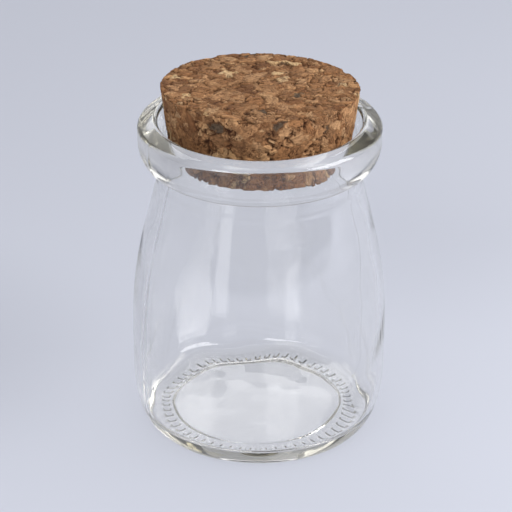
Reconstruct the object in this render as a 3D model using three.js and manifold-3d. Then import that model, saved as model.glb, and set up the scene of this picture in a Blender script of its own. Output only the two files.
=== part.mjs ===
// A small clear glass jar, as pudding is sold in, shut with a tapered stopper of pressed cork granules.
// Millimetres, +Z up, with the origin at the middle of the foot, on the surface that the jar stands on.
import * as THREE from "three";
import { mergeVertices } from "three/addons/utils/BufferGeometryUtils.js";
import Module from "manifold-3d";

const wasm = await Module();
wasm.setup();

// Driving dimensions of the jar.
const BODY_RADIUS = 30;
const JAR_HEIGHT = 76.9;
const RIM_RADIUS = 28.15;
const THROAT_RADIUS = 20.75;
const WALL = 1.9;
const FLOOR_HEIGHT = 4;

// The heel is a stretch of an upright ellipse that leaves the foot at an angle and ends upright in the body.
const HEEL_CENTRE_HEIGHT = 14;
const HEEL_HALF_WIDTH = 5.7;
const HEEL_HALF_HEIGHT = 14.3;

// The body stays upright to here, then bends in by the shoulder's slope and runs straight to the neck groove.
const SHOULDER_START = 25;
const SHOULDER_BEND = 100;
const SHOULDER_SLOPE = THREE.MathUtils.degToRad(14);
const GROOVE_HEIGHT = 65.9;
const GROOVE_FILLET = 0.8;

// The rim: a ledge at the groove, a round underside, a short upright band, a round edge and a sloping top.
const RIM_UNDERSIDE_WIDTH = 3.95;
const RIM_BAND_FOOT = 72.5;
const RIM_EDGE_WIDTH = 1.3;
const RIM_EDGE_HEIGHT = 1.5;
const RIM_EDGE_TOP = 76.1;
const RIM_EDGE_TURN = THREE.MathUtils.degToRad(72);
const LIP_RADIUS = 24.7;
const LIP_INNER_RADIUS = 23.4;
const LIP_DROP = 0.9;

// The inside: a mouth that narrows to a seat for the stopper, a throat, an even wall and a nearly flat floor.
const SEAT_RADIUS = 22;
const SEAT_HEIGHT = 69;
const SEAT_FOOT_RADIUS = 21.1;
const SEAT_FOOT_HEIGHT = 67.1;
const SEAT_ROUNDING = 0.8;
const THROAT_HEIGHT = 66.7;
const THROAT_ROUNDING = 0.08;
const INNER_FILLET_HEIGHT = 2.2;
const INNER_FILLET_WIDTH = 1.4;
const FLOOR_CROWN = 0.5;

// The underside: a ring of short bars that the jar stands on, round a shallow recess.
const FOOT_RING_HEIGHT = 0.35;
const RECESS_RADIUS = 20.3;
const RECESS_STEP = 0.2;
const RECESS_HEIGHT = 1.4;
const RECESS_CROWN = 0.55;
const BAR_COUNT = 60;
const BAR_INNER_RADIUS = 21.3;
const BAR_LENGTH = 2.2;
const BAR_ROOT_WIDTH = 1.25;
const BAR_CREST_WIDTH = 0.75;
const BAR_SUNK = 0.4;

// Driving dimensions of the stopper.
const CORK_TOP_RADIUS = 23;
const CORK_FOOT_RADIUS = 20.8;
const CORK_HEIGHT = 16.4;
const CORK_FOOT_HEIGHT = 68.2;
const CORK_EDGE = 0.5;
const CORK_TILT_BACK = THREE.MathUtils.degToRad(2.4);
const CORK_TILT_RIGHT = THREE.MathUtils.degToRad(0.8);

// The granules of the stopper lie at slightly different depths below its true surface.
const GRANULE_SIZE = 4.2;
const GRANULE_DEPTH = 0.45;
const GRANULE_SEED = 7;

// Multipliers that scatter the numbers of neighbouring grid cells. They stand for no size.
const SCATTER = { x: 127.1, y: 311.7, z: 74.7, channel: 53.3, spread: 43758.5453 };

// How many straight stretches stand for each curve, and how many rings the stopper's faces have.
const TURN_STEPS = 72;
const HEEL_STEPS = 9;
const BEND_STEPS = 5;
const UNDERSIDE_STEPS = 7;
const EDGE_STEPS = 4;
const CORNER_STEPS = 3;
const INNER_HEEL_STEPS = 6;
const FLOOR_STEPS = 4;
const CORK_FOOT_RINGS = 4;
const CORK_SIDE_RINGS = 6;
const CORK_TOP_RINGS = 8;
const MERGE_DISTANCE = 1e-4;
const QUARTER = Math.PI / 2;

// Points on an ellipse round (centreRadius, centreHeight), from one angle to another.
function arc(centreRadius, centreHeight, halfWidth, halfHeight, from, to, steps) {
  const clockwise = from > to;
  const middle = [centreRadius, centreHeight];
  return new THREE.EllipseCurve(...middle, halfWidth, halfHeight, from, to, clockwise).getPoints(steps);
}

// Points of a soft corner from one point to another, drawn towards the corner itself.
function softCorner(start, corner, end, steps) {
  return new THREE.QuadraticBezierCurve(start, corner, end).getPoints(steps);
}

// A profile turned round the Z axis. The profile starts and ends on that axis.
function turned(profile) {
  return new THREE.LatheGeometry(profile, TURN_STEPS).rotateX(QUARTER);
}

function footProfile() {
  const middle = new THREE.Vector2(0, RECESS_HEIGHT + RECESS_CROWN);
  const rise = new THREE.Vector2(RECESS_RADIUS / 2, middle.y);
  const stepTop = new THREE.Vector2(RECESS_RADIUS - RECESS_STEP, RECESS_HEIGHT);
  const stepFoot = new THREE.Vector2(RECESS_RADIUS, FOOT_RING_HEIGHT);
  return [...softCorner(middle, rise, stepTop, CORNER_STEPS), stepFoot];
}

function heelProfile() {
  const start = Math.asin((FOOT_RING_HEIGHT - HEEL_CENTRE_HEIGHT) / HEEL_HALF_HEIGHT);
  const centreRadius = BODY_RADIUS - HEEL_HALF_WIDTH;
  return arc(centreRadius, HEEL_CENTRE_HEIGHT, HEEL_HALF_WIDTH, HEEL_HALF_HEIGHT, start, 0, HEEL_STEPS);
}

// The shoulder's bend, set in from the outside by some thickness of glass.
function shoulderProfile(inset) {
  const bend = SHOULDER_BEND - inset;
  return arc(BODY_RADIUS - SHOULDER_BEND, SHOULDER_START, bend, bend, 0, SHOULDER_SLOPE, BEND_STEPS);
}

// The groove under the rim, where the straight shoulder meets the rim's ledge.
function grooveProfile() {
  const bendEnd = shoulderProfile(0).at(-1);
  const run = GROOVE_HEIGHT - bendEnd.y;
  const corner = new THREE.Vector2(bendEnd.x - run * Math.tan(SHOULDER_SLOPE), GROOVE_HEIGHT);
  const outward = GROOVE_FILLET * Math.sin(SHOULDER_SLOPE);
  const below = new THREE.Vector2(corner.x + outward, corner.y - GROOVE_FILLET);
  const above = new THREE.Vector2(corner.x + GROOVE_FILLET, corner.y);
  return softCorner(below, corner, above, CORNER_STEPS);
}

function rimProfile() {
  const undersideRadius = RIM_RADIUS - RIM_UNDERSIDE_WIDTH;
  const undersideHeight = RIM_BAND_FOOT - GROOVE_HEIGHT;
  const edgeRadius = RIM_RADIUS - RIM_EDGE_WIDTH;
  const edgeHeight = RIM_EDGE_TOP - RIM_EDGE_HEIGHT;
  const lipWidth = LIP_RADIUS - LIP_INNER_RADIUS;
  return [
    ...arc(undersideRadius, RIM_BAND_FOOT, RIM_UNDERSIDE_WIDTH, undersideHeight, -QUARTER, 0, UNDERSIDE_STEPS),
    ...arc(edgeRadius, edgeHeight, RIM_EDGE_WIDTH, RIM_EDGE_HEIGHT, 0, RIM_EDGE_TURN, EDGE_STEPS),
    ...arc(LIP_RADIUS, JAR_HEIGHT - LIP_DROP, lipWidth, LIP_DROP, QUARTER, Math.PI, EDGE_STEPS),
  ];
}

// The mouth's narrow end: a rounded seat under the stopper and a rounded throat below it.
function seatProfile() {
  const mouth = new THREE.Vector2(LIP_INNER_RADIUS, JAR_HEIGHT - LIP_DROP);
  const seat = new THREE.Vector2(SEAT_RADIUS, SEAT_HEIGHT);
  const seatFoot = new THREE.Vector2(SEAT_FOOT_RADIUS, SEAT_FOOT_HEIGHT);
  const drop = (SEAT_ROUNDING * (seat.y - seatFoot.y)) / (mouth.y - seat.y);
  const seatCorner = seat.clone().addScaledVector(seat.clone().sub(mouth), drop);
  const throat = new THREE.Vector2(THROAT_RADIUS, THROAT_HEIGHT);
  const belowThroat = throat.clone().lerp(shoulderProfile(WALL).at(-1), THROAT_ROUNDING);
  return [
    ...softCorner(seat, seatCorner, seatFoot, CORNER_STEPS),
    ...softCorner(seatFoot, throat, belowThroat, CORNER_STEPS).slice(1),
  ];
}

// The inside's foot: the heel's ellipse set in by the wall, a tight fillet and a slightly raised floor.
function floorProfile() {
  const innerHeight = HEEL_HALF_HEIGHT - WALL;
  const filletTop = FLOOR_HEIGHT + INNER_FILLET_HEIGHT;
  const heelEnd = Math.asin((filletTop - HEEL_CENTRE_HEIGHT) / innerHeight);
  const innerWidth = HEEL_HALF_WIDTH - WALL;
  const centreRadius = BODY_RADIUS - HEEL_HALF_WIDTH;
  const heel = arc(centreRadius, HEEL_CENTRE_HEIGHT, innerWidth, innerHeight, 0, heelEnd, INNER_HEEL_STEPS);
  const last = heel.at(-1);
  const inward = (innerWidth * Math.tan(heelEnd)) / innerHeight;
  const corner = new THREE.Vector2(last.x + inward * INNER_FILLET_HEIGHT, FLOOR_HEIGHT);
  const filletFoot = new THREE.Vector2(corner.x - INNER_FILLET_WIDTH, FLOOR_HEIGHT);
  const middle = new THREE.Vector2(0, FLOOR_HEIGHT + FLOOR_CROWN);
  const rise = new THREE.Vector2(filletFoot.x / 2, middle.y);
  return [
    ...heel,
    ...softCorner(last, corner, filletFoot, FLOOR_STEPS).slice(1),
    ...softCorner(filletFoot, rise, middle, FLOOR_STEPS).slice(1),
  ];
}

// One bar of the foot ring: a short ridge with a flat crest on the ground, pointing away from the axis.
function footBar(angle) {
  const section = new THREE.Shape([
    new THREE.Vector2(-BAR_CREST_WIDTH / 2, 0),
    new THREE.Vector2(BAR_CREST_WIDTH / 2, 0),
    new THREE.Vector2(BAR_ROOT_WIDTH / 2, FOOT_RING_HEIGHT),
    new THREE.Vector2(BAR_ROOT_WIDTH / 2, FOOT_RING_HEIGHT + BAR_SUNK),
    new THREE.Vector2(-BAR_ROOT_WIDTH / 2, FOOT_RING_HEIGHT + BAR_SUNK),
    new THREE.Vector2(-BAR_ROOT_WIDTH / 2, FOOT_RING_HEIGHT),
  ]);
  const bar = new THREE.ExtrudeGeometry(section, { depth: BAR_LENGTH, bevelEnabled: false });
  return bar
    .rotateX(QUARTER)
    .translate(0, BAR_INNER_RADIUS + BAR_LENGTH, 0)
    .rotateZ(angle);
}

// A closed geometry as a solid that can be joined to others.
function toSolid(geometry) {
  const bare = geometry.clone();
  bare.deleteAttribute("normal");
  bare.deleteAttribute("uv");
  const merged = mergeVertices(bare, MERGE_DISTANCE);
  const corners = merged.index.array;
  const kept = [];
  for (let i = 0; i < corners.length; i += 3) {
    const [a, b, c] = [corners[i], corners[i + 1], corners[i + 2]];
    if (a !== b && b !== c && c !== a) kept.push(a, b, c);
  }
  const mesh = new wasm.Mesh({
    numProp: 3,
    vertProperties: merged.attributes.position.array,
    triVerts: new Uint32Array(kept),
  });
  return new wasm.Manifold(mesh);
}

function toGeometry(solid) {
  const mesh = solid.getMesh();
  const geometry = new THREE.BufferGeometry();
  geometry.setAttribute("position", new THREE.BufferAttribute(mesh.vertProperties, 3));
  geometry.setIndex(new THREE.BufferAttribute(mesh.triVerts, 1));
  geometry.computeVertexNormals();
  return geometry;
}

function jarGeometry() {
  const profile = [
    ...footProfile(),
    ...heelProfile(),
    ...shoulderProfile(0),
    ...grooveProfile(),
    ...rimProfile(),
    ...seatProfile(),
    ...shoulderProfile(WALL).reverse(),
    ...floorProfile(),
  ];
  let jar = toSolid(turned(profile));
  for (let i = 0; i < BAR_COUNT; i++) {
    jar = jar.add(toSolid(footBar((i / BAR_COUNT) * 2 * Math.PI)));
  }
  return toGeometry(jar);
}

// A number from 0 to 1 that belongs to one cell of a grid.
function cellNumber(x, y, z, channel) {
  const sum = x * SCATTER.x + y * SCATTER.y + z * SCATTER.z + channel * SCATTER.channel + GRANULE_SEED;
  const mixed = Math.sin(sum) * SCATTER.spread;
  return mixed - Math.floor(mixed);
}

// The number, from 0 to 1, of the granule that a point lies in: the one whose centre is nearest.
function granuleNumber(point) {
  const scaled = point.clone().divideScalar(GRANULE_SIZE);
  const home = scaled.clone().floor();
  let nearest = Infinity;
  let number = 0;
  for (let x = home.x - 1; x <= home.x + 1; x++) {
    for (let y = home.y - 1; y <= home.y + 1; y++) {
      for (let z = home.z - 1; z <= home.z + 1; z++) {
        const centre = new THREE.Vector3(
          x + cellNumber(x, y, z, 1),
          y + cellNumber(x, y, z, 2),
          z + cellNumber(x, y, z, 3),
        );
        const distance = centre.distanceToSquared(scaled);
        if (distance < nearest) {
          nearest = distance;
          number = cellNumber(x, y, z, 4);
        }
      }
    }
  }
  return number;
}

// A run of rings across one end of the stopper, from one radius to another.
function endRings(from, to, height, steps) {
  const rings = [];
  for (let i = 0; i <= steps; i++) {
    rings.push(new THREE.Vector2(THREE.MathUtils.lerp(from, to, i / steps), height));
  }
  return rings;
}

function sideRings(steps) {
  const rings = [];
  for (let i = 0; i <= steps; i++) {
    const height = THREE.MathUtils.lerp(CORK_EDGE, CORK_HEIGHT - CORK_EDGE, i / steps);
    const radius = THREE.MathUtils.lerp(CORK_FOOT_RADIUS, CORK_TOP_RADIUS, height / CORK_HEIGHT);
    rings.push(new THREE.Vector2(radius, height));
  }
  return rings;
}

function corkGeometry() {
  const profile = [
    ...endRings(0, CORK_FOOT_RADIUS - CORK_EDGE, 0, CORK_FOOT_RINGS),
    ...sideRings(CORK_SIDE_RINGS),
    ...endRings(CORK_TOP_RADIUS - CORK_EDGE, 0, CORK_HEIGHT, CORK_TOP_RINGS),
  ];
  const cork = turned(profile);
  const positions = cork.attributes.position;
  const middle = new THREE.Vector3(0, 0, CORK_HEIGHT / 2);
  const point = new THREE.Vector3();
  for (let i = 0; i < positions.count; i++) {
    point.fromBufferAttribute(positions, i);
    const depth = GRANULE_DEPTH * granuleNumber(point);
    const inward = middle.clone().sub(point).normalize();
    point.addScaledVector(inward, depth);
    positions.setXYZ(i, point.x, point.y, point.z);
  }
  return toGeometry(toSolid(cork));
}

const clearGlass = new THREE.MeshStandardMaterial({
  color: 0xdfe4e8,
  roughness: 0.03,
  metalness: 0,
  transparent: true,
  opacity: 0.35,
});
const pressedCork = new THREE.MeshStandardMaterial({ color: 0x9a6b45, roughness: 0.9, metalness: 0 });

const jar = new THREE.Mesh(jarGeometry(), clearGlass);
jar.name = "glass_jar";

const stopper = new THREE.Mesh(corkGeometry(), pressedCork);
stopper.name = "cork_stopper";
stopper.position.z = -CORK_HEIGHT / 2;

// The stopper was pushed in a little askew, so it leans back and to the right about its own middle.
const leaning = new THREE.Group();
leaning.position.z = CORK_FOOT_HEIGHT + CORK_HEIGHT / 2;
leaning.rotation.set(-CORK_TILT_BACK, CORK_TILT_RIGHT, 0);
leaning.add(stopper);

const corkedJar = new THREE.Group();
corkedJar.add(jar, leaning);

export default corkedJar;
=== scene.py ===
import math

import bmesh
import bpy
import numpy as np
from mathutils import Matrix, Vector, kdtree


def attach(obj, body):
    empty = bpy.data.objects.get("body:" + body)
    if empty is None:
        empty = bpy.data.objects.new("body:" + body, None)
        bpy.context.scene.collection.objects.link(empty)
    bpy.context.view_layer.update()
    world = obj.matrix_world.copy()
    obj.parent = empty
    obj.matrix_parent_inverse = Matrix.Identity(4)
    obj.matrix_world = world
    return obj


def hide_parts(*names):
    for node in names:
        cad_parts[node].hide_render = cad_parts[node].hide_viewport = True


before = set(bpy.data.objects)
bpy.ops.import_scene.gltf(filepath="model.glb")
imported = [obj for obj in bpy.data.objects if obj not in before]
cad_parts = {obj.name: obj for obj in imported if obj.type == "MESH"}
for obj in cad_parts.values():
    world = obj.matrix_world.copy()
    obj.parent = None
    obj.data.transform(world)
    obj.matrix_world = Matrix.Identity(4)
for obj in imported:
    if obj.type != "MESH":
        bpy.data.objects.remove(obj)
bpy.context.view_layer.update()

MM = 0.001
QUARTER = math.pi / 2
TOUCHING = 1e-6

# Sizes of the jar, in millimetres, as in the solid that it stands for.
BODY_RADIUS = 30
JAR_HEIGHT = 76.9
RIM_RADIUS = 28.15
THROAT_RADIUS = 20.75
WALL = 1.9
FLOOR_HEIGHT = 4
HEEL_CENTRE_HEIGHT = 14
HEEL_HALF_WIDTH = 5.7
HEEL_HALF_HEIGHT = 14.3
SHOULDER_START = 25
SHOULDER_BEND = 100
SHOULDER_SLOPE = math.radians(14)
GROOVE_HEIGHT = 65.9
GROOVE_FILLET = 0.8
RIM_UNDERSIDE_WIDTH = 3.95
RIM_BAND_FOOT = 72.5
RIM_EDGE_WIDTH = 1.3
RIM_EDGE_HEIGHT = 1.5
RIM_EDGE_TOP = 76.1
RIM_EDGE_TURN = math.radians(72)
LIP_RADIUS = 24.7
LIP_INNER_RADIUS = 23.4
LIP_DROP = 0.9
SEAT_RADIUS = 22
SEAT_HEIGHT = 69
SEAT_FOOT_RADIUS = 21.1
SEAT_FOOT_HEIGHT = 67.1
SEAT_ROUNDING = 0.8
THROAT_HEIGHT = 66.7
THROAT_ROUNDING = 0.08
INNER_FILLET_HEIGHT = 2.2
INNER_FILLET_WIDTH = 1.4
FLOOR_CROWN = 0.5
FOOT_RING_HEIGHT = 0.35
RECESS_RADIUS = 20.3
RECESS_STEP = 0.2
RECESS_HEIGHT = 1.4
RECESS_CROWN = 0.55
RECESS_CROWN_MARGIN = 0.4
RECESS_ROUNDING = 0.3
BAR_COUNT = 60
BAR_INNER_RADIUS = 21.3
BAR_LENGTH = 2.2
BAR_ROOT_WIDTH = 1.25
BAR_CREST_WIDTH = 0.75
BAR_END_SLOPE = 0.35

# How many stretches stand for each curve. The shoulder has many, because the neck's seam crosses it.
STEPS_PER_BAR = 7
TURN_STEPS = BAR_COUNT * STEPS_PER_BAR
BAR_STEPS = 3
RISER_STEPS = 4
HEEL_STEPS = 22
STRAIGHT_STEPS = 5
BEND_STEPS = 10
SHOULDER_STEPS = 30
GROOVE_STEPS = 6
UNDERSIDE_STEPS = 20
BAND_STEPS = 3
ROUND_STEPS = 8
INNER_HEEL_STEPS = 14
FILLET_STEPS = 10
FLOOR_STEPS = 18

# What pressing and blowing leave on the glass: raised seams, and an uneven inside and floor.
SEAM_ANGLES = (math.radians(-153), math.radians(27))
SEAM_HEIGHT = 0.1
SEAM_HALF_WIDTH = 0.4
NECK_SEAM_HEIGHT = 62.1
WOBBLE = 0.13
WOBBLE_SEED = 3
WOBBLE_PEAK = 2.5
FLOOR_RIPPLE = 0.35
FLOOR_RIPPLE_SIZE = 6

# Each wave of the inside: how many lobes it has round the jar, and the millimetres from crest to crest up it.
WOBBLE_WAVES = ((2, 40), (3, 26), (5, 19), (8, 13))

# Sizes of the stopper, in millimetres.
CORK_TOP_RADIUS = 23
CORK_FOOT_RADIUS = 20.8
CORK_HEIGHT = 16.4
CORK_FOOT_HEIGHT = 68.2
CORK_TILT_BACK = math.radians(2.4)
CORK_TILT_RIGHT = math.radians(0.8)
CORK_SEGMENTS = 200
CORK_MESH_STEP = 0.27

# The granules: how many there are, how far past the stopper they reach, the ranges of their stretch and
# relative size, how many of the nearest are compared at a point, and the share of them that is bark.
GRANULE_COUNT = 4200
GRANULE_MARGIN = 2
GRANULE_STRETCH = (1.2, 2.6)
GRANULE_SIZE = (0.5, 1.6)
GRANULE_RIVALS = 20
BARK_SHARE = 0.015
GRANULE_SEED = 11

# How far the granules' borders are torn from their smooth course, and the size of the tears.
COARSE_TEAR = 1.7
COARSE_TEAR_SIZE = 1.7
FINE_TEAR = 0.9
FINE_TEAR_SIZE = 0.7

# The relief of the stopper: how deep each kind of hollow is, how far from a border or an edge it reaches,
# the size of its lumps, and the range of its noise over which it opens.
LEVEL_DEPTH = 0.2
BORDER_DEPTH = 0.06
BORDER_REACH = 0.4
GAP_DEPTH = 0.45
GAP_REACH = (0.02, 0.2)
GAP_PATCH_SIZE = 2.2
GAP_OPENS = (0.42, 0.56)
BARK_REACH = (0.05, 0.3)
BARK_DEPTH = 0.25
CRUMB_DEPTH = 0.16
CRUMB_SIZE = 0.9
CRUMB_SHARE = 0.6
FINE_CRUMB_SIZE = 0.45
CHIP_DEPTH = 0.6
CHIP_SIZE = 2.2
CHIP_OPENS = (0.5, 0.8)
CHIP_REACH = (1.5, 0.2)

# Sizes of the pattern inside the granules, in millimetres.
CORK_LAYER = 0.6
CORK_CRACK_CURL = 1.3
CORK_CRACK_PATCH = 2.2

# The share of the way along the grain that is taken off, which makes the layers about three times as long.
LAYER_SHORTENING = 0.66

# The cracks run where their noise is within this much of its middle value.
CRACK_MIDDLE = 0.5
CRACK_HALF_RANGE = 0.03

# The places of the sockets that a Mix node uses for colours, because their names aren't unique.
MIX_FACTOR = 0
MIX_FIRST = 6
MIX_SECOND = 7
MIX_RESULT = 2

# Each noise has a channel of its own. The multipliers scatter neighbouring cells, and stand for no size.
COARSE_TEAR_CHANNEL = 21
FINE_TEAR_CHANNEL = 24
GAP_CHANNEL = 31
CRUMB_CHANNEL = 42
FINE_CRUMB_CHANNEL = 43
CHIP_CHANNEL = 51
FLOOR_CHANNEL = 61
CELL_SCATTER = (127.1, 311.7, 74.7)
CHANNEL_SCATTER = 53.3
SCATTER_SPREAD = 43758.5453

# The camera, from how the rim, the body and the foot appear in the photograph.
PHOTO_WIDTH = 512
CAMERA_DISTANCE = 550
CAMERA_ELEVATION = math.radians(26.6)
CAMERA_AIM_HEIGHT = 41.42
CAMERA_FOCAL_PIXELS = 2336
CAMERA_SIDE_STEP = -0.75
CAMERA_ROLL = math.radians(0.27)
CAMERA_SENSOR_WIDTH = 36
CAMERA_CLIP_START = 10

# The studio. The bounces are as many as light needs to find its way out of the thick rim.
PAPER_REACH = 4000
CARD_DISTANCE = 215
CARD_WIDTH = 45
GLASS_BOUNCES = 40


def linear(colour):
    """An sRGB hex colour as the linear red, green, blue and alpha that a shader takes."""
    channels = [int(colour[i : i + 2], 16) / 255 for i in (1, 3, 5)]
    return [c / 12.92 if c <= 0.04045 else ((c + 0.055) / 1.055) ** 2.4 for c in channels] + [1.0]


def add(tree, kind, settings=None, inputs=None, stops=()):
    """Adds a node: its settings by name, its inputs as values or as sockets to link, and a ramp's stops."""
    made = tree.nodes.new(kind)
    for name, value in (settings or {}).items():
        setattr(made, name, value)
    for name, value in (inputs or {}).items():
        if isinstance(value, bpy.types.NodeSocket):
            tree.links.new(value, made.inputs[name])
        else:
            made.inputs[name].default_value = value
    for i, (place, colour) in enumerate(stops):
        elements = made.color_ramp.elements
        stop = elements[i] if i < len(elements) else elements.new(place)
        stop.position = place
        stop.color = linear(colour)
    return made


def new_material(name):
    material = bpy.data.materials.new(name)
    material.use_nodes = True
    material.node_tree.nodes.clear()
    return material, material.node_tree


def new_piece(name, vertices, faces, material):
    mesh = bpy.data.meshes.new(name)
    mesh.from_pydata(vertices, [], faces)
    mesh.shade_smooth()
    mesh.materials.append(material)
    piece = bpy.data.objects.new(name, mesh)
    bpy.context.scene.collection.objects.link(piece)
    return piece


def smooth_step(low, high, value):
    t = np.clip((value - low) / (high - low), 0, 1)
    return t * t * (3 - 2 * t)


# Noise that is the same on every run.


def lattice(corner, channel):
    """A number from 0 to 1 for each corner of a grid of cells."""
    angle = corner @ np.array(CELL_SCATTER) + channel * CHANNEL_SCATTER + GRANULE_SEED
    mixed = np.sin(angle) * SCATTER_SPREAD
    return mixed - np.floor(mixed)


def value_noise(points, size, channel):
    """Smooth noise from 0 to 1 whose lumps are about size millimetres across."""
    scaled = points / size
    home = np.floor(scaled)
    share = smooth_step(0, 1, scaled - home)
    total = 0
    for x in (0, 1):
        for y in (0, 1):
            for z in (0, 1):
                offset = np.array((x, y, z))
                weight = np.prod(np.where(offset, share, 1 - share), axis=1)
                total = total + weight * lattice(home + offset, channel)
    return total


def noise_vector(points, size, channel):
    return np.column_stack([value_noise(points, size, channel + i) - 0.5 for i in range(3)])


# The jar's profile, as points of radius and height.


def arc(centre_radius, centre_height, half_width, half_height, start, end, steps):
    angle = np.linspace(start, end, steps + 1)
    radius = centre_radius + half_width * np.cos(angle)
    return np.column_stack((radius, centre_height + half_height * np.sin(angle)))


def soft_corner(start, corner, end, steps):
    t = np.linspace(0, 1, steps + 1)[:, None]
    return (1 - t) ** 2 * np.array(start) + 2 * t * (1 - t) * np.array(corner) + t**2 * np.array(end)


def run(start, end, steps):
    """Points on a straight stretch, without its two ends."""
    t = np.linspace(0, 1, steps + 1)[1:-1, None]
    return (1 - t) * np.array(start) + t * np.array(end)


def recess_profile():
    """From the middle of the recess out over its low crown and down its steep riser to the foot ring."""
    step_top = (RECESS_RADIUS - RECESS_STEP, RECESS_HEIGHT)
    step_foot = (RECESS_RADIUS, FOOT_RING_HEIGHT)
    middle = (RECESS_RADIUS - RECESS_STEP / 2, (RECESS_HEIGHT + FOOT_RING_HEIGHT) / 2)
    crown_top = (0, RECESS_HEIGHT + RECESS_CROWN)
    crown_rise = (RECESS_RADIUS / 2, RECESS_HEIGHT + RECESS_CROWN)
    crown_end = (step_top[0] - RECESS_CROWN_MARGIN, RECESS_HEIGHT)
    riser_start = (step_top[0] - RECESS_ROUNDING, RECESS_HEIGHT)
    riser_end = (RECESS_RADIUS + RECESS_ROUNDING, FOOT_RING_HEIGHT)
    return np.vstack((
        soft_corner(crown_top, crown_rise, crown_end, ROUND_STEPS),
        soft_corner(riser_start, step_top, middle, RISER_STEPS)[1:],
        soft_corner(middle, step_foot, riser_end, RISER_STEPS)[1:],
    ))


def ring_profile(heel_start):
    """The foot ring, with points where its bars begin, crest and end."""
    ends = (BAR_INNER_RADIUS, BAR_INNER_RADIUS + BAR_LENGTH)
    radii = np.unique(np.concatenate((
        np.linspace(ends[0], ends[0] + BAR_END_SLOPE, BAR_STEPS + 1),
        np.linspace(ends[0] + BAR_END_SLOPE, ends[1] - BAR_END_SLOPE, BAR_STEPS + 1),
        np.linspace(ends[1] - BAR_END_SLOPE, ends[1], BAR_STEPS + 1),
        [(ends[1] + heel_start) / 2],
    )))
    return np.column_stack((radii, np.full(len(radii), FOOT_RING_HEIGHT)))


def shoulder_profile(inset):
    """The shoulder's bend, set in from the outside by some thickness of glass."""
    bend = SHOULDER_BEND - inset
    return arc(BODY_RADIUS - SHOULDER_BEND, SHOULDER_START, bend, bend, 0, SHOULDER_SLOPE, BEND_STEPS)


def outside_profile():
    """From the foot ring up over the heel, the body, the shoulder and the groove to the rim's edge."""
    heel_start = math.asin((FOOT_RING_HEIGHT - HEEL_CENTRE_HEIGHT) / HEEL_HALF_HEIGHT)
    heel = arc(
        BODY_RADIUS - HEEL_HALF_WIDTH, HEEL_CENTRE_HEIGHT, HEEL_HALF_WIDTH, HEEL_HALF_HEIGHT,
        heel_start, 0, HEEL_STEPS,
    )
    shoulder = shoulder_profile(0)
    bend_end = shoulder[-1]
    corner_radius = bend_end[0] - (GROOVE_HEIGHT - bend_end[1]) * math.tan(SHOULDER_SLOPE)
    corner = np.array((corner_radius, GROOVE_HEIGHT))
    below = corner + GROOVE_FILLET * np.array((math.sin(SHOULDER_SLOPE), -1))
    underside = arc(
        RIM_RADIUS - RIM_UNDERSIDE_WIDTH, RIM_BAND_FOOT, RIM_UNDERSIDE_WIDTH, RIM_BAND_FOOT - GROOVE_HEIGHT,
        -QUARTER, 0, UNDERSIDE_STEPS,
    )
    edge = arc(
        RIM_RADIUS - RIM_EDGE_WIDTH, RIM_EDGE_TOP - RIM_EDGE_HEIGHT, RIM_EDGE_WIDTH, RIM_EDGE_HEIGHT,
        0, RIM_EDGE_TURN, ROUND_STEPS,
    )
    return np.vstack((
        heel,
        run(heel[-1], shoulder[0], STRAIGHT_STEPS),
        shoulder,
        run(bend_end, below, SHOULDER_STEPS),
        soft_corner(below, corner, corner + (GROOVE_FILLET, 0), GROOVE_STEPS),
        underside,
        run(underside[-1], edge[0], BAND_STEPS),
        edge,
    ))


def inside_profile():
    """From the lip down past the stopper's seat and the throat, then along an even wall to the floor."""
    shoulder = shoulder_profile(WALL)[::-1]
    bend_end = shoulder[0]
    lip = arc(
        LIP_RADIUS, JAR_HEIGHT - LIP_DROP, LIP_RADIUS - LIP_INNER_RADIUS, LIP_DROP,
        QUARTER, math.pi, ROUND_STEPS,
    )
    seat = np.array((SEAT_RADIUS, SEAT_HEIGHT))
    seat_foot = np.array((SEAT_FOOT_RADIUS, SEAT_FOOT_HEIGHT))
    seat_drop = SEAT_ROUNDING * (SEAT_HEIGHT - SEAT_FOOT_HEIGHT)
    seat_corner = seat + seat_drop * (seat - lip[-1]) / (lip[-1][1] - seat[1])
    throat = np.array((THROAT_RADIUS, THROAT_HEIGHT))
    below_throat = throat + THROAT_ROUNDING * (bend_end - throat)
    inner_height = HEEL_HALF_HEIGHT - WALL
    fillet_top = FLOOR_HEIGHT + INNER_FILLET_HEIGHT
    heel = arc(
        BODY_RADIUS - HEEL_HALF_WIDTH, HEEL_CENTRE_HEIGHT, HEEL_HALF_WIDTH - WALL, inner_height,
        0, math.asin((fillet_top - HEEL_CENTRE_HEIGHT) / inner_height), INNER_HEEL_STEPS,
    )
    fillet_slope = (heel[-1] - heel[-2]) / (heel[-2][1] - heel[-1][1])
    fillet_corner = heel[-1] + fillet_slope * INNER_FILLET_HEIGHT
    fillet_foot = fillet_corner - (INNER_FILLET_WIDTH, 0)
    floor_middle = (0, FLOOR_HEIGHT + FLOOR_CROWN)
    floor_rise = (fillet_foot[0] / 2, floor_middle[1])
    return np.vstack((
        lip,
        run(lip[-1], seat, STRAIGHT_STEPS),
        soft_corner(seat, seat_corner, seat_foot, ROUND_STEPS),
        soft_corner(seat_foot, throat, below_throat, ROUND_STEPS)[1:],
        run(below_throat, bend_end, STRAIGHT_STEPS),
        shoulder,
        run(shoulder[-1], heel[0], STRAIGHT_STEPS),
        heel,
        soft_corner(heel[-1], fillet_corner, fillet_foot, FILLET_STEPS)[1:],
        soft_corner(fillet_foot, floor_rise, floor_middle, FLOOR_STEPS)[1:],
    ))


# The jar's relief and its mesh.


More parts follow.
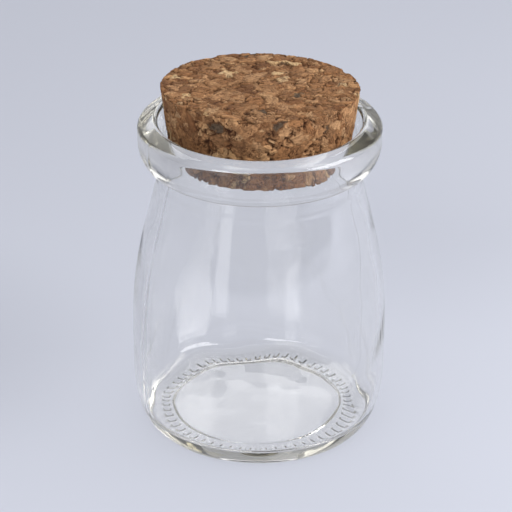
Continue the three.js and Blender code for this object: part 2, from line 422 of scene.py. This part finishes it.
def bar_relief(radius, angle):
    """How far the foot's bars stand down from their ring, from 0 to 1."""
    pitch = 2 * math.pi / BAR_COUNT
    beside = np.abs((angle + QUARTER + pitch / 2) % pitch - pitch / 2) * radius
    across = 1 - smooth_step(BAR_CREST_WIDTH / 2, BAR_ROOT_WIDTH / 2, beside)
    outer_end = BAR_INNER_RADIUS + BAR_LENGTH
    along = smooth_step(BAR_INNER_RADIUS, BAR_INNER_RADIUS + BAR_END_SLOPE, radius)
    return across * along * (1 - smooth_step(outer_end - BAR_END_SLOPE, outer_end, radius))


def seam_relief(radius, angle, height):
    """How far the mould seams stand proud of the outside: 1 on a seam, and up to 2 where two cross."""
    proud = 0
    for seam in SEAM_ANGLES:
        beside = np.abs((angle - seam + math.pi) % (2 * math.pi) - math.pi) * radius
        proud = proud + np.exp(-((beside / SEAM_HALF_WIDTH) ** 2))
    return proud + np.exp(-(((height - NECK_SEAM_HEIGHT) / SEAM_HALF_WIDTH) ** 2))


def wall_wobble(angle, height):
    """The slow waviness of the blown inside, from about -1 to 1."""
    draw = np.random.default_rng(WOBBLE_SEED)
    total = 0
    for lobes, rise in WOBBLE_WAVES:
        phase = draw.uniform(0, 2 * math.pi, 2)
        total = total + np.sin(lobes * angle + phase[0]) * np.sin(2 * math.pi * height / rise + phase[1])
    return total / WOBBLE_PEAK


def floor_ripple(radius, angle):
    """The unevenness that pressing leaves in the floor, from -0.5 to 0.5."""
    places = np.stack((radius * np.cos(angle), radius * np.sin(angle), 0 * radius), axis=-1)
    noise = value_noise(places.reshape(-1, 3), FLOOR_RIPPLE_SIZE, FLOOR_CHANNEL)
    return noise.reshape(radius.shape) - 0.5


def jar_mesh():
    """The jar's vertices and faces: the profile turned round its axis, with all of its relief."""
    outside = outside_profile()
    foot = np.vstack((recess_profile(), ring_profile(outside[0][0])))
    profile = np.vstack((foot, outside, inside_profile()))
    place = np.arange(len(profile))[:, None] - len(foot)
    is_outside = (place >= 0) & (place < len(outside))
    is_inside = place >= len(outside)
    angle = np.linspace(0, 2 * math.pi, TURN_STEPS, endpoint=False)[None, :]
    radius = profile[:, :1] + 0 * angle
    height = profile[:, 1:] + 0 * angle

    on_ring = height <= FOOT_RING_HEIGHT + TOUCHING
    lowered = np.where(on_ring, FOOT_RING_HEIGHT * bar_relief(radius, angle), 0)
    below_lip = smooth_step(JAR_HEIGHT, THROAT_HEIGHT, height) * smooth_step(0, BODY_RADIUS, radius)
    radius = radius + is_outside * SEAM_HEIGHT * seam_relief(radius, angle, height)
    radius = radius + is_inside * WOBBLE * below_lip * wall_wobble(angle, height)
    on_floor = is_inside & (height < HEEL_CENTRE_HEIGHT)
    towards_middle = smooth_step(RECESS_RADIUS, RECESS_RADIUS / 2, radius)
    raised = FLOOR_RIPPLE * on_floor * towards_middle * floor_ripple(radius, angle)
    grid = np.stack((radius * np.cos(angle), radius * np.sin(angle), height - lowered + raised), axis=-1)
    return close_turned_grid(grid[1:-1], grid[0, 0], grid[-1, 0])


def close_turned_grid(grid, first_pole, last_pole):
    """Rings of points with a point on the axis at each end, as one closed mesh in metres."""
    rings, steps = grid.shape[:2]
    vertices = np.vstack((grid.reshape(-1, 3), first_pole, last_pole)) * MM
    here = np.arange(steps)
    after = np.roll(here, -1)
    faces = []
    for ring in range(rings - 1):
        low, high = ring * steps, (ring + 1) * steps
        faces += np.column_stack((low + here, low + after, high + after, high + here)).tolist()
    top = (rings - 1) * steps
    faces += np.column_stack((after, here, np.full(steps, rings * steps))).tolist()
    faces += np.column_stack((top + here, top + after, np.full(steps, rings * steps + 1))).tolist()
    return vertices.tolist(), faces


# The stopper and its granules.


def frustum_points():
    """The vertices, normals and faces of an evenly meshed frustum, in the stopper's own frame."""
    form = bmesh.new()
    bmesh.ops.create_cone(
        form, cap_ends=True, segments=CORK_SEGMENTS,
        radius1=CORK_FOOT_RADIUS, radius2=CORK_TOP_RADIUS, depth=CORK_HEIGHT,
    )
    mesh = bpy.data.meshes.new("frustum")
    form.to_mesh(mesh)
    form.free()
    holder = bpy.data.objects.new("frustum", mesh)
    bpy.context.scene.collection.objects.link(holder)
    remesh = holder.modifiers.new("even", "REMESH")
    remesh.mode = "VOXEL"
    remesh.voxel_size = CORK_MESH_STEP
    even = bpy.data.meshes.new_from_object(holder.evaluated_get(bpy.context.evaluated_depsgraph_get()))
    vertices = np.array([v.co for v in even.vertices])
    normals = np.array([v.normal for v in even.vertices])
    faces = [list(p.vertices) for p in even.polygons]
    bpy.data.objects.remove(holder)
    bpy.data.meshes.remove(mesh)
    bpy.data.meshes.remove(even)
    return vertices, normals, faces


def granule_cells(points):
    """For each point: the granule it lies in, how far inside it lies, and the direction of its grain."""
    draw = np.random.default_rng(GRANULE_SEED)
    reach = np.array((CORK_TOP_RADIUS, CORK_TOP_RADIUS, CORK_HEIGHT / 2)) + GRANULE_MARGIN
    centres = draw.uniform(-reach, reach, (GRANULE_COUNT, 3))
    grain = draw.normal(size=(GRANULE_COUNT, 3))
    grain /= np.linalg.norm(grain, axis=1)[:, None]
    stretch = draw.uniform(*GRANULE_STRETCH, GRANULE_COUNT)
    size = draw.uniform(*GRANULE_SIZE, GRANULE_COUNT)
    tree = kdtree.KDTree(GRANULE_COUNT)
    for i, centre in enumerate(centres):
        tree.insert(centre, i)
    tree.balance()
    rivals = np.array([[found[1] for found in tree.find_n(point, GRANULE_RIVALS)] for point in points])
    away = points[:, None, :] - centres[rivals]
    lengthwise = (away * grain[rivals]).sum(2)
    squared = (away**2).sum(2) - lengthwise**2 * (1 - 1 / stretch[rivals] ** 2)
    distance = np.sqrt(np.maximum(squared, 0)) / size[rivals]
    nearest = np.sort(distance, axis=1)
    owner = rivals[np.arange(len(points)), distance.argmin(1)]
    return owner, nearest[:, 1] - nearest[:, 0], grain[owner]


def edge_distance(points):
    """How far each point lies from the rim of the stopper's top or foot."""
    share_up = points[:, 2] / CORK_HEIGHT + 0.5
    side = CORK_FOOT_RADIUS + (CORK_TOP_RADIUS - CORK_FOOT_RADIUS) * share_up
    return np.hypot(np.abs(points[:, 2]) - CORK_HEIGHT / 2, np.hypot(points[:, 0], points[:, 1]) - side)


def cork_piece(material):
    points, normals, faces = frustum_points()
    coarse_tear = COARSE_TEAR * noise_vector(points, COARSE_TEAR_SIZE, COARSE_TEAR_CHANNEL)
    fine_tear = FINE_TEAR * noise_vector(points, FINE_TEAR_SIZE, FINE_TEAR_CHANNEL)
    owner, depth, grain = granule_cells(points + coarse_tear + fine_tear)
    draw = np.random.default_rng(GRANULE_SEED + 1)
    tone, redness, kind, level = draw.uniform(0, 1, (4, GRANULE_COUNT))[:, owner]

    # Gaps stay open along some of the borders between granules, and a few granules are bits of bark.
    open_border = smooth_step(*GAP_OPENS, value_noise(points, GAP_PATCH_SIZE, GAP_CHANNEL))
    gap = (1 - smooth_step(*GAP_REACH, depth)) * open_border
    bark = (kind > 1 - BARK_SHARE) * smooth_step(*BARK_REACH, depth)
    coarse_crumb = CRUMB_SHARE * value_noise(points, CRUMB_SIZE, CRUMB_CHANNEL)
    fine_crumb = (1 - CRUMB_SHARE) * value_noise(points, FINE_CRUMB_SIZE, FINE_CRUMB_CHANNEL)
    crumb = coarse_crumb + fine_crumb

    # Every granule has its own level, sunk borders and deep gaps. It is crumbly, and the top edge is chipped.
    border = 1 - smooth_step(0, BORDER_REACH, depth)
    sunk = LEVEL_DEPTH * level + BORDER_DEPTH * border + GAP_DEPTH * gap
    crumbled = (BARK_DEPTH * bark + CRUMB_DEPTH) * crumb
    worn = smooth_step(*CHIP_REACH, edge_distance(points)) * (points[:, 2] > 0)
    chipped = worn * smooth_step(*CHIP_OPENS, value_noise(points, CHIP_SIZE, CHIP_CHANNEL))
    points = points - normals * (sunk + crumbled + CHIP_DEPTH * chipped)[:, None]

    lean = Matrix.Rotation(-CORK_TILT_BACK, 3, "X") @ Matrix.Rotation(CORK_TILT_RIGHT, 3, "Y")
    placed = points @ np.array(lean).T + np.array((0, 0, CORK_FOOT_HEIGHT + CORK_HEIGHT / 2))
    piece = new_piece("pressed_cork_stopper", (placed * MM).tolist(), faces, material)
    # The gap mask also goes to the material, which paints the open gaps dark as their shade.
    for name, values in (("tone", tone), ("redness", redness), ("gap", gap), ("bark", bark)):
        attribute = piece.data.attributes.new(name, "FLOAT", "POINT")
        attribute.data.foreach_set("value", values.astype(np.float32))
    direction = piece.data.attributes.new("grain", "FLOAT_VECTOR", "POINT")
    direction.data.foreach_set("vector", grain.astype(np.float32).ravel())
    return piece


# Materials.


def soda_lime_glass():
    """Pressed soda-lime glass: clear and glossy, and faintly olive where it is thick, from its iron."""
    material, tree = new_material("pressed soda-lime glass")
    surface = add(tree, "ShaderNodeBsdfPrincipled", inputs={
        "Base Color": linear("#ffffff"),
        "Roughness": 0.0,
        "IOR": 1.52,
        "Transmission Weight": 1.0,
    })
    tint = add(tree, "ShaderNodeVolumeAbsorption", inputs={"Color": linear("#dddbd2"), "Density": 40.0})
    add(tree, "ShaderNodeOutputMaterial", inputs={
        "Surface": surface.outputs["BSDF"],
        "Volume": tint.outputs["Volume"],
    })
    return material


def pressed_cork():
    """Cork granules glued under pressure: matte browns in fine layers, with painted shade in the cracks and
    open gaps, and bits of bark.
    """
    material, tree = new_material("pressed cork granules")
    tone = add(tree, "ShaderNodeAttribute", {"attribute_name": "tone"})
    redness = add(tree, "ShaderNodeAttribute", {"attribute_name": "redness"})
    gap = add(tree, "ShaderNodeAttribute", {"attribute_name": "gap"})
    bark = add(tree, "ShaderNodeAttribute", {"attribute_name": "bark"})
    grain = add(tree, "ShaderNodeAttribute", {"attribute_name": "grain"})
    place = add(tree, "ShaderNodeTexCoord")
    in_mm = add(tree, "ShaderNodeVectorMath", {"operation": "SCALE"}, {
        0: place.outputs["Object"], "Scale": 1 / MM,
    })

    # The grown layers run along each granule's grain, so their pattern is about three times as long that way.
    lengthwise = add(tree, "ShaderNodeVectorMath", {"operation": "DOT_PRODUCT"}, {
        0: in_mm.outputs["Vector"], 1: grain.outputs["Vector"],
    })
    shortened = add(tree, "ShaderNodeVectorMath", {"operation": "SCALE"}, {
        0: grain.outputs["Vector"], "Scale": lengthwise.outputs["Value"],
    })
    most_of_it = add(tree, "ShaderNodeVectorMath", {"operation": "SCALE"}, {
        0: shortened.outputs["Vector"], "Scale": LAYER_SHORTENING,
    })
    along_grain = add(tree, "ShaderNodeVectorMath", {"operation": "SUBTRACT"}, {
        0: in_mm.outputs["Vector"], 1: most_of_it.outputs["Vector"],
    })
    layers = add(tree, "ShaderNodeTexNoise", inputs={
        "Vector": along_grain.outputs["Vector"],
        "Scale": 1 / CORK_LAYER,
        "Detail": 3.0,
        "Distortion": 0.6,
    })
    layer_shade = add(tree, "ShaderNodeMapRange", inputs={
        "Value": layers.outputs["Fac"], "From Min": 0.32, "From Max": 0.68, "To Min": 0.62, "To Max": 1.3,
    })

    granule = add(tree, "ShaderNodeValToRGB", inputs={"Fac": tone.outputs["Fac"]}, stops=(
        (0.0, "#7f5a3d"), (0.4, "#9d7450"), (0.75, "#b18862"), (0.95, "#bf9870"), (1.0, "#d6b98e"),
    ))
    ruddy = add(tree, "ShaderNodeMix", {"data_type": "RGBA", "blend_type": "MULTIPLY"}, {
        MIX_FACTOR: redness.outputs["Fac"],
        MIX_FIRST: granule.outputs["Color"],
        MIX_SECOND: linear("#faeee2"),
    })
    barked = add(tree, "ShaderNodeMix", {"data_type": "RGBA"}, {
        MIX_FACTOR: bark.outputs["Fac"],
        MIX_FIRST: ruddy.outputs[MIX_RESULT],
        MIX_SECOND: linear("#5a4a3b"),
    })
    layered = add(tree, "ShaderNodeVectorMath", {"operation": "SCALE"}, {
        0: barked.outputs[MIX_RESULT], "Scale": layer_shade.outputs["Result"],
    })

    # Short curly cracks follow the middle values of a noise, where a coarser noise lets them open.
    curl = add(tree, "ShaderNodeTexNoise", inputs={
        "Vector": along_grain.outputs["Vector"],
        "Scale": 1 / CORK_CRACK_CURL,
        "Detail": 2.0,
        "Distortion": 1.6,
    })
    middle = add(tree, "ShaderNodeMath", {"operation": "COMPARE"}, {
        0: curl.outputs["Fac"], 1: CRACK_MIDDLE, 2: CRACK_HALF_RANGE,
    })
    patches = add(tree, "ShaderNodeTexNoise", inputs={
        "Vector": in_mm.outputs["Vector"], "Scale": 1 / CORK_CRACK_PATCH, "Detail": 1.0,
    })
    crack_here = add(tree, "ShaderNodeMapRange", inputs={
        "Value": patches.outputs["Fac"], "From Min": 0.44, "From Max": 0.55, "To Min": 0.0, "To Max": 0.85,
    })
    crack = add(tree, "ShaderNodeMath", {"operation": "MULTIPLY"}, {
        0: middle.outputs["Value"], 1: crack_here.outputs["Result"],
    })
    # The cracks and the open gaps are painted dark brown as painted shade, the shade inside these narrow
    # hollows.
    painted_crevice_shade = add(tree, "ShaderNodeMath", {"operation": "MAXIMUM"}, {
        0: crack.outputs["Value"], 1: gap.outputs["Fac"],
    })
    with_painted_crevice_shade = add(tree, "ShaderNodeMix", {"data_type": "RGBA"}, {
        MIX_FACTOR: painted_crevice_shade.outputs["Value"],
        MIX_FIRST: layered.outputs["Vector"],
        MIX_SECOND: linear("#46291a"),
    })
    roughening = add(tree, "ShaderNodeBump", inputs={
        "Strength": 0.6, "Distance": CORK_LAYER * MM, "Height": layers.outputs["Fac"],
    })
    surface = add(tree, "ShaderNodeBsdfPrincipled", inputs={
        "Base Color": with_painted_crevice_shade.outputs[MIX_RESULT],
        "Roughness": 0.88,
        "IOR": 1.4,
        "Specular IOR Level": 0.25,
        "Normal": roughening.outputs["Normal"],
    })
    add(tree, "ShaderNodeOutputMaterial", inputs={"Surface": surface.outputs["BSDF"]})
    return material


def sweep_paper():
    """Uncoated backdrop paper, matte and a pale cool grey."""
    material, tree = new_material("pale backdrop paper")
    surface = add(tree, "ShaderNodeBsdfPrincipled", inputs={
        "Base Color": linear("#cccfda"),
        "Roughness": 0.95,
        "Specular IOR Level": 0.1,
    })
    add(tree, "ShaderNodeOutputMaterial", inputs={"Surface": surface.outputs["BSDF"]})
    return material


# The studio.


def softbox(name, place, target, width, height, power):
    """A rectangular light at a place, facing a target, in millimetres and watts."""
    data = bpy.data.lights.new(name, "AREA")
    data.shape = "RECTANGLE"
    data.size = width * MM
    data.size_y = height * MM
    data.energy = power
    light = bpy.data.objects.new(name, data)
    light.location = Vector(place) * MM
    light.rotation_euler = (Vector(target) - Vector(place)).to_track_quat("-Z", "Y").to_euler()
    light.visible_camera = False
    bpy.context.scene.collection.objects.link(light)
    return light


def front_card(name, turn, height, power):
    """A small bright card in front of the jar, some degrees aside, that shows as a soft patch on its wall."""
    aside = math.radians(turn)
    place = (CARD_DISTANCE * math.sin(aside), -CARD_DISTANCE * math.cos(aside), height / 2)
    card = softbox(name, place, (0, 0, height / 2), CARD_WIDTH, height, power)
    card.visible_diffuse = False


def dome(colour, strength):
    world = bpy.data.worlds.new("studio dome")
    world.use_nodes = True
    tree = world.node_tree
    tree.nodes.clear()
    glow = add(tree, "ShaderNodeBackground", inputs={"Color": linear(colour), "Strength": strength})
    add(tree, "ShaderNodeOutputWorld", inputs={"Surface": glow.outputs["Background"]})
    bpy.context.scene.world = world


def studio_lights():
    """A strong key from the right, weaker light from behind and in front, and lights for the gloss alone."""
    dome(colour="#eef0f8", strength=0.26)
    softbox("right_softbox", place=(600, -180, 400), target=(0, 0, 45), width=500, height=500, power=5.8)
    softbox("back_softbox", place=(-150, 550, 520), target=(0, 0, 40), width=700, height=400, power=1.4)
    softbox("front_softbox", place=(-260, -520, 420), target=(0, 0, 70), width=400, height=300, power=2.2)
    front_card("left_card", turn=-33, height=76, power=0.014)
    front_card("right_card", turn=29, height=52, power=0.006)
    panel = softbox("back_panel", place=(0, 620, 170), target=(0, 0, 60), width=1600, height=340, power=0.75)
    panel.visible_diffuse = False


def photo_camera():
    data = bpy.data.cameras.new("camera")
    data.sensor_width = CAMERA_SENSOR_WIDTH
    data.lens = CAMERA_FOCAL_PIXELS / PHOTO_WIDTH * CAMERA_SENSOR_WIDTH
    data.clip_start = CAMERA_CLIP_START * MM
    camera = bpy.data.objects.new("camera", data)
    aim = Vector((CAMERA_SIDE_STEP, 0, CAMERA_AIM_HEIGHT)) * MM
    back = Vector((0, -math.cos(CAMERA_ELEVATION), math.sin(CAMERA_ELEVATION)))
    camera.location = aim + back * CAMERA_DISTANCE * MM
    turn = (-back).to_track_quat("-Z", "Y").to_matrix() @ Matrix.Rotation(CAMERA_ROLL, 3, "Z")
    camera.rotation_euler = turn.to_euler()
    bpy.context.scene.collection.objects.link(camera)
    bpy.context.scene.camera = camera


def paper_floor(material):
    reach = PAPER_REACH * MM
    corners = [(-reach, -reach, 0), (reach, -reach, 0), (reach, reach, 0), (-reach, reach, 0)]
    floor = new_piece("paper_floor", corners, [(0, 1, 2, 3)], material)


def light_through_glass(jar):
    """Light goes straight through the glass to the floor, so the jar casts no shadow and no bright spots."""
    scene = bpy.context.scene
    jar.visible_shadow = False
    scene.cycles.caustics_refractive = False
    scene.cycles.max_bounces = GLASS_BOUNCES
    scene.cycles.transmission_bounces = GLASS_BOUNCES
    scene.cycles.glossy_bounces = GLASS_BOUNCES


def main():
    jar = new_piece("pressed_glass_jar", *jar_mesh(), soda_lime_glass())
    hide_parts("glass_jar")
    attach(jar, "root")

    cork = cork_piece(pressed_cork())
    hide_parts("cork_stopper")
    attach(cork, "root")

    paper_floor(sweep_paper())
    studio_lights()
    light_through_glass(jar)
    bpy.context.scene.view_settings.view_transform = "Standard"
    photo_camera()


main()
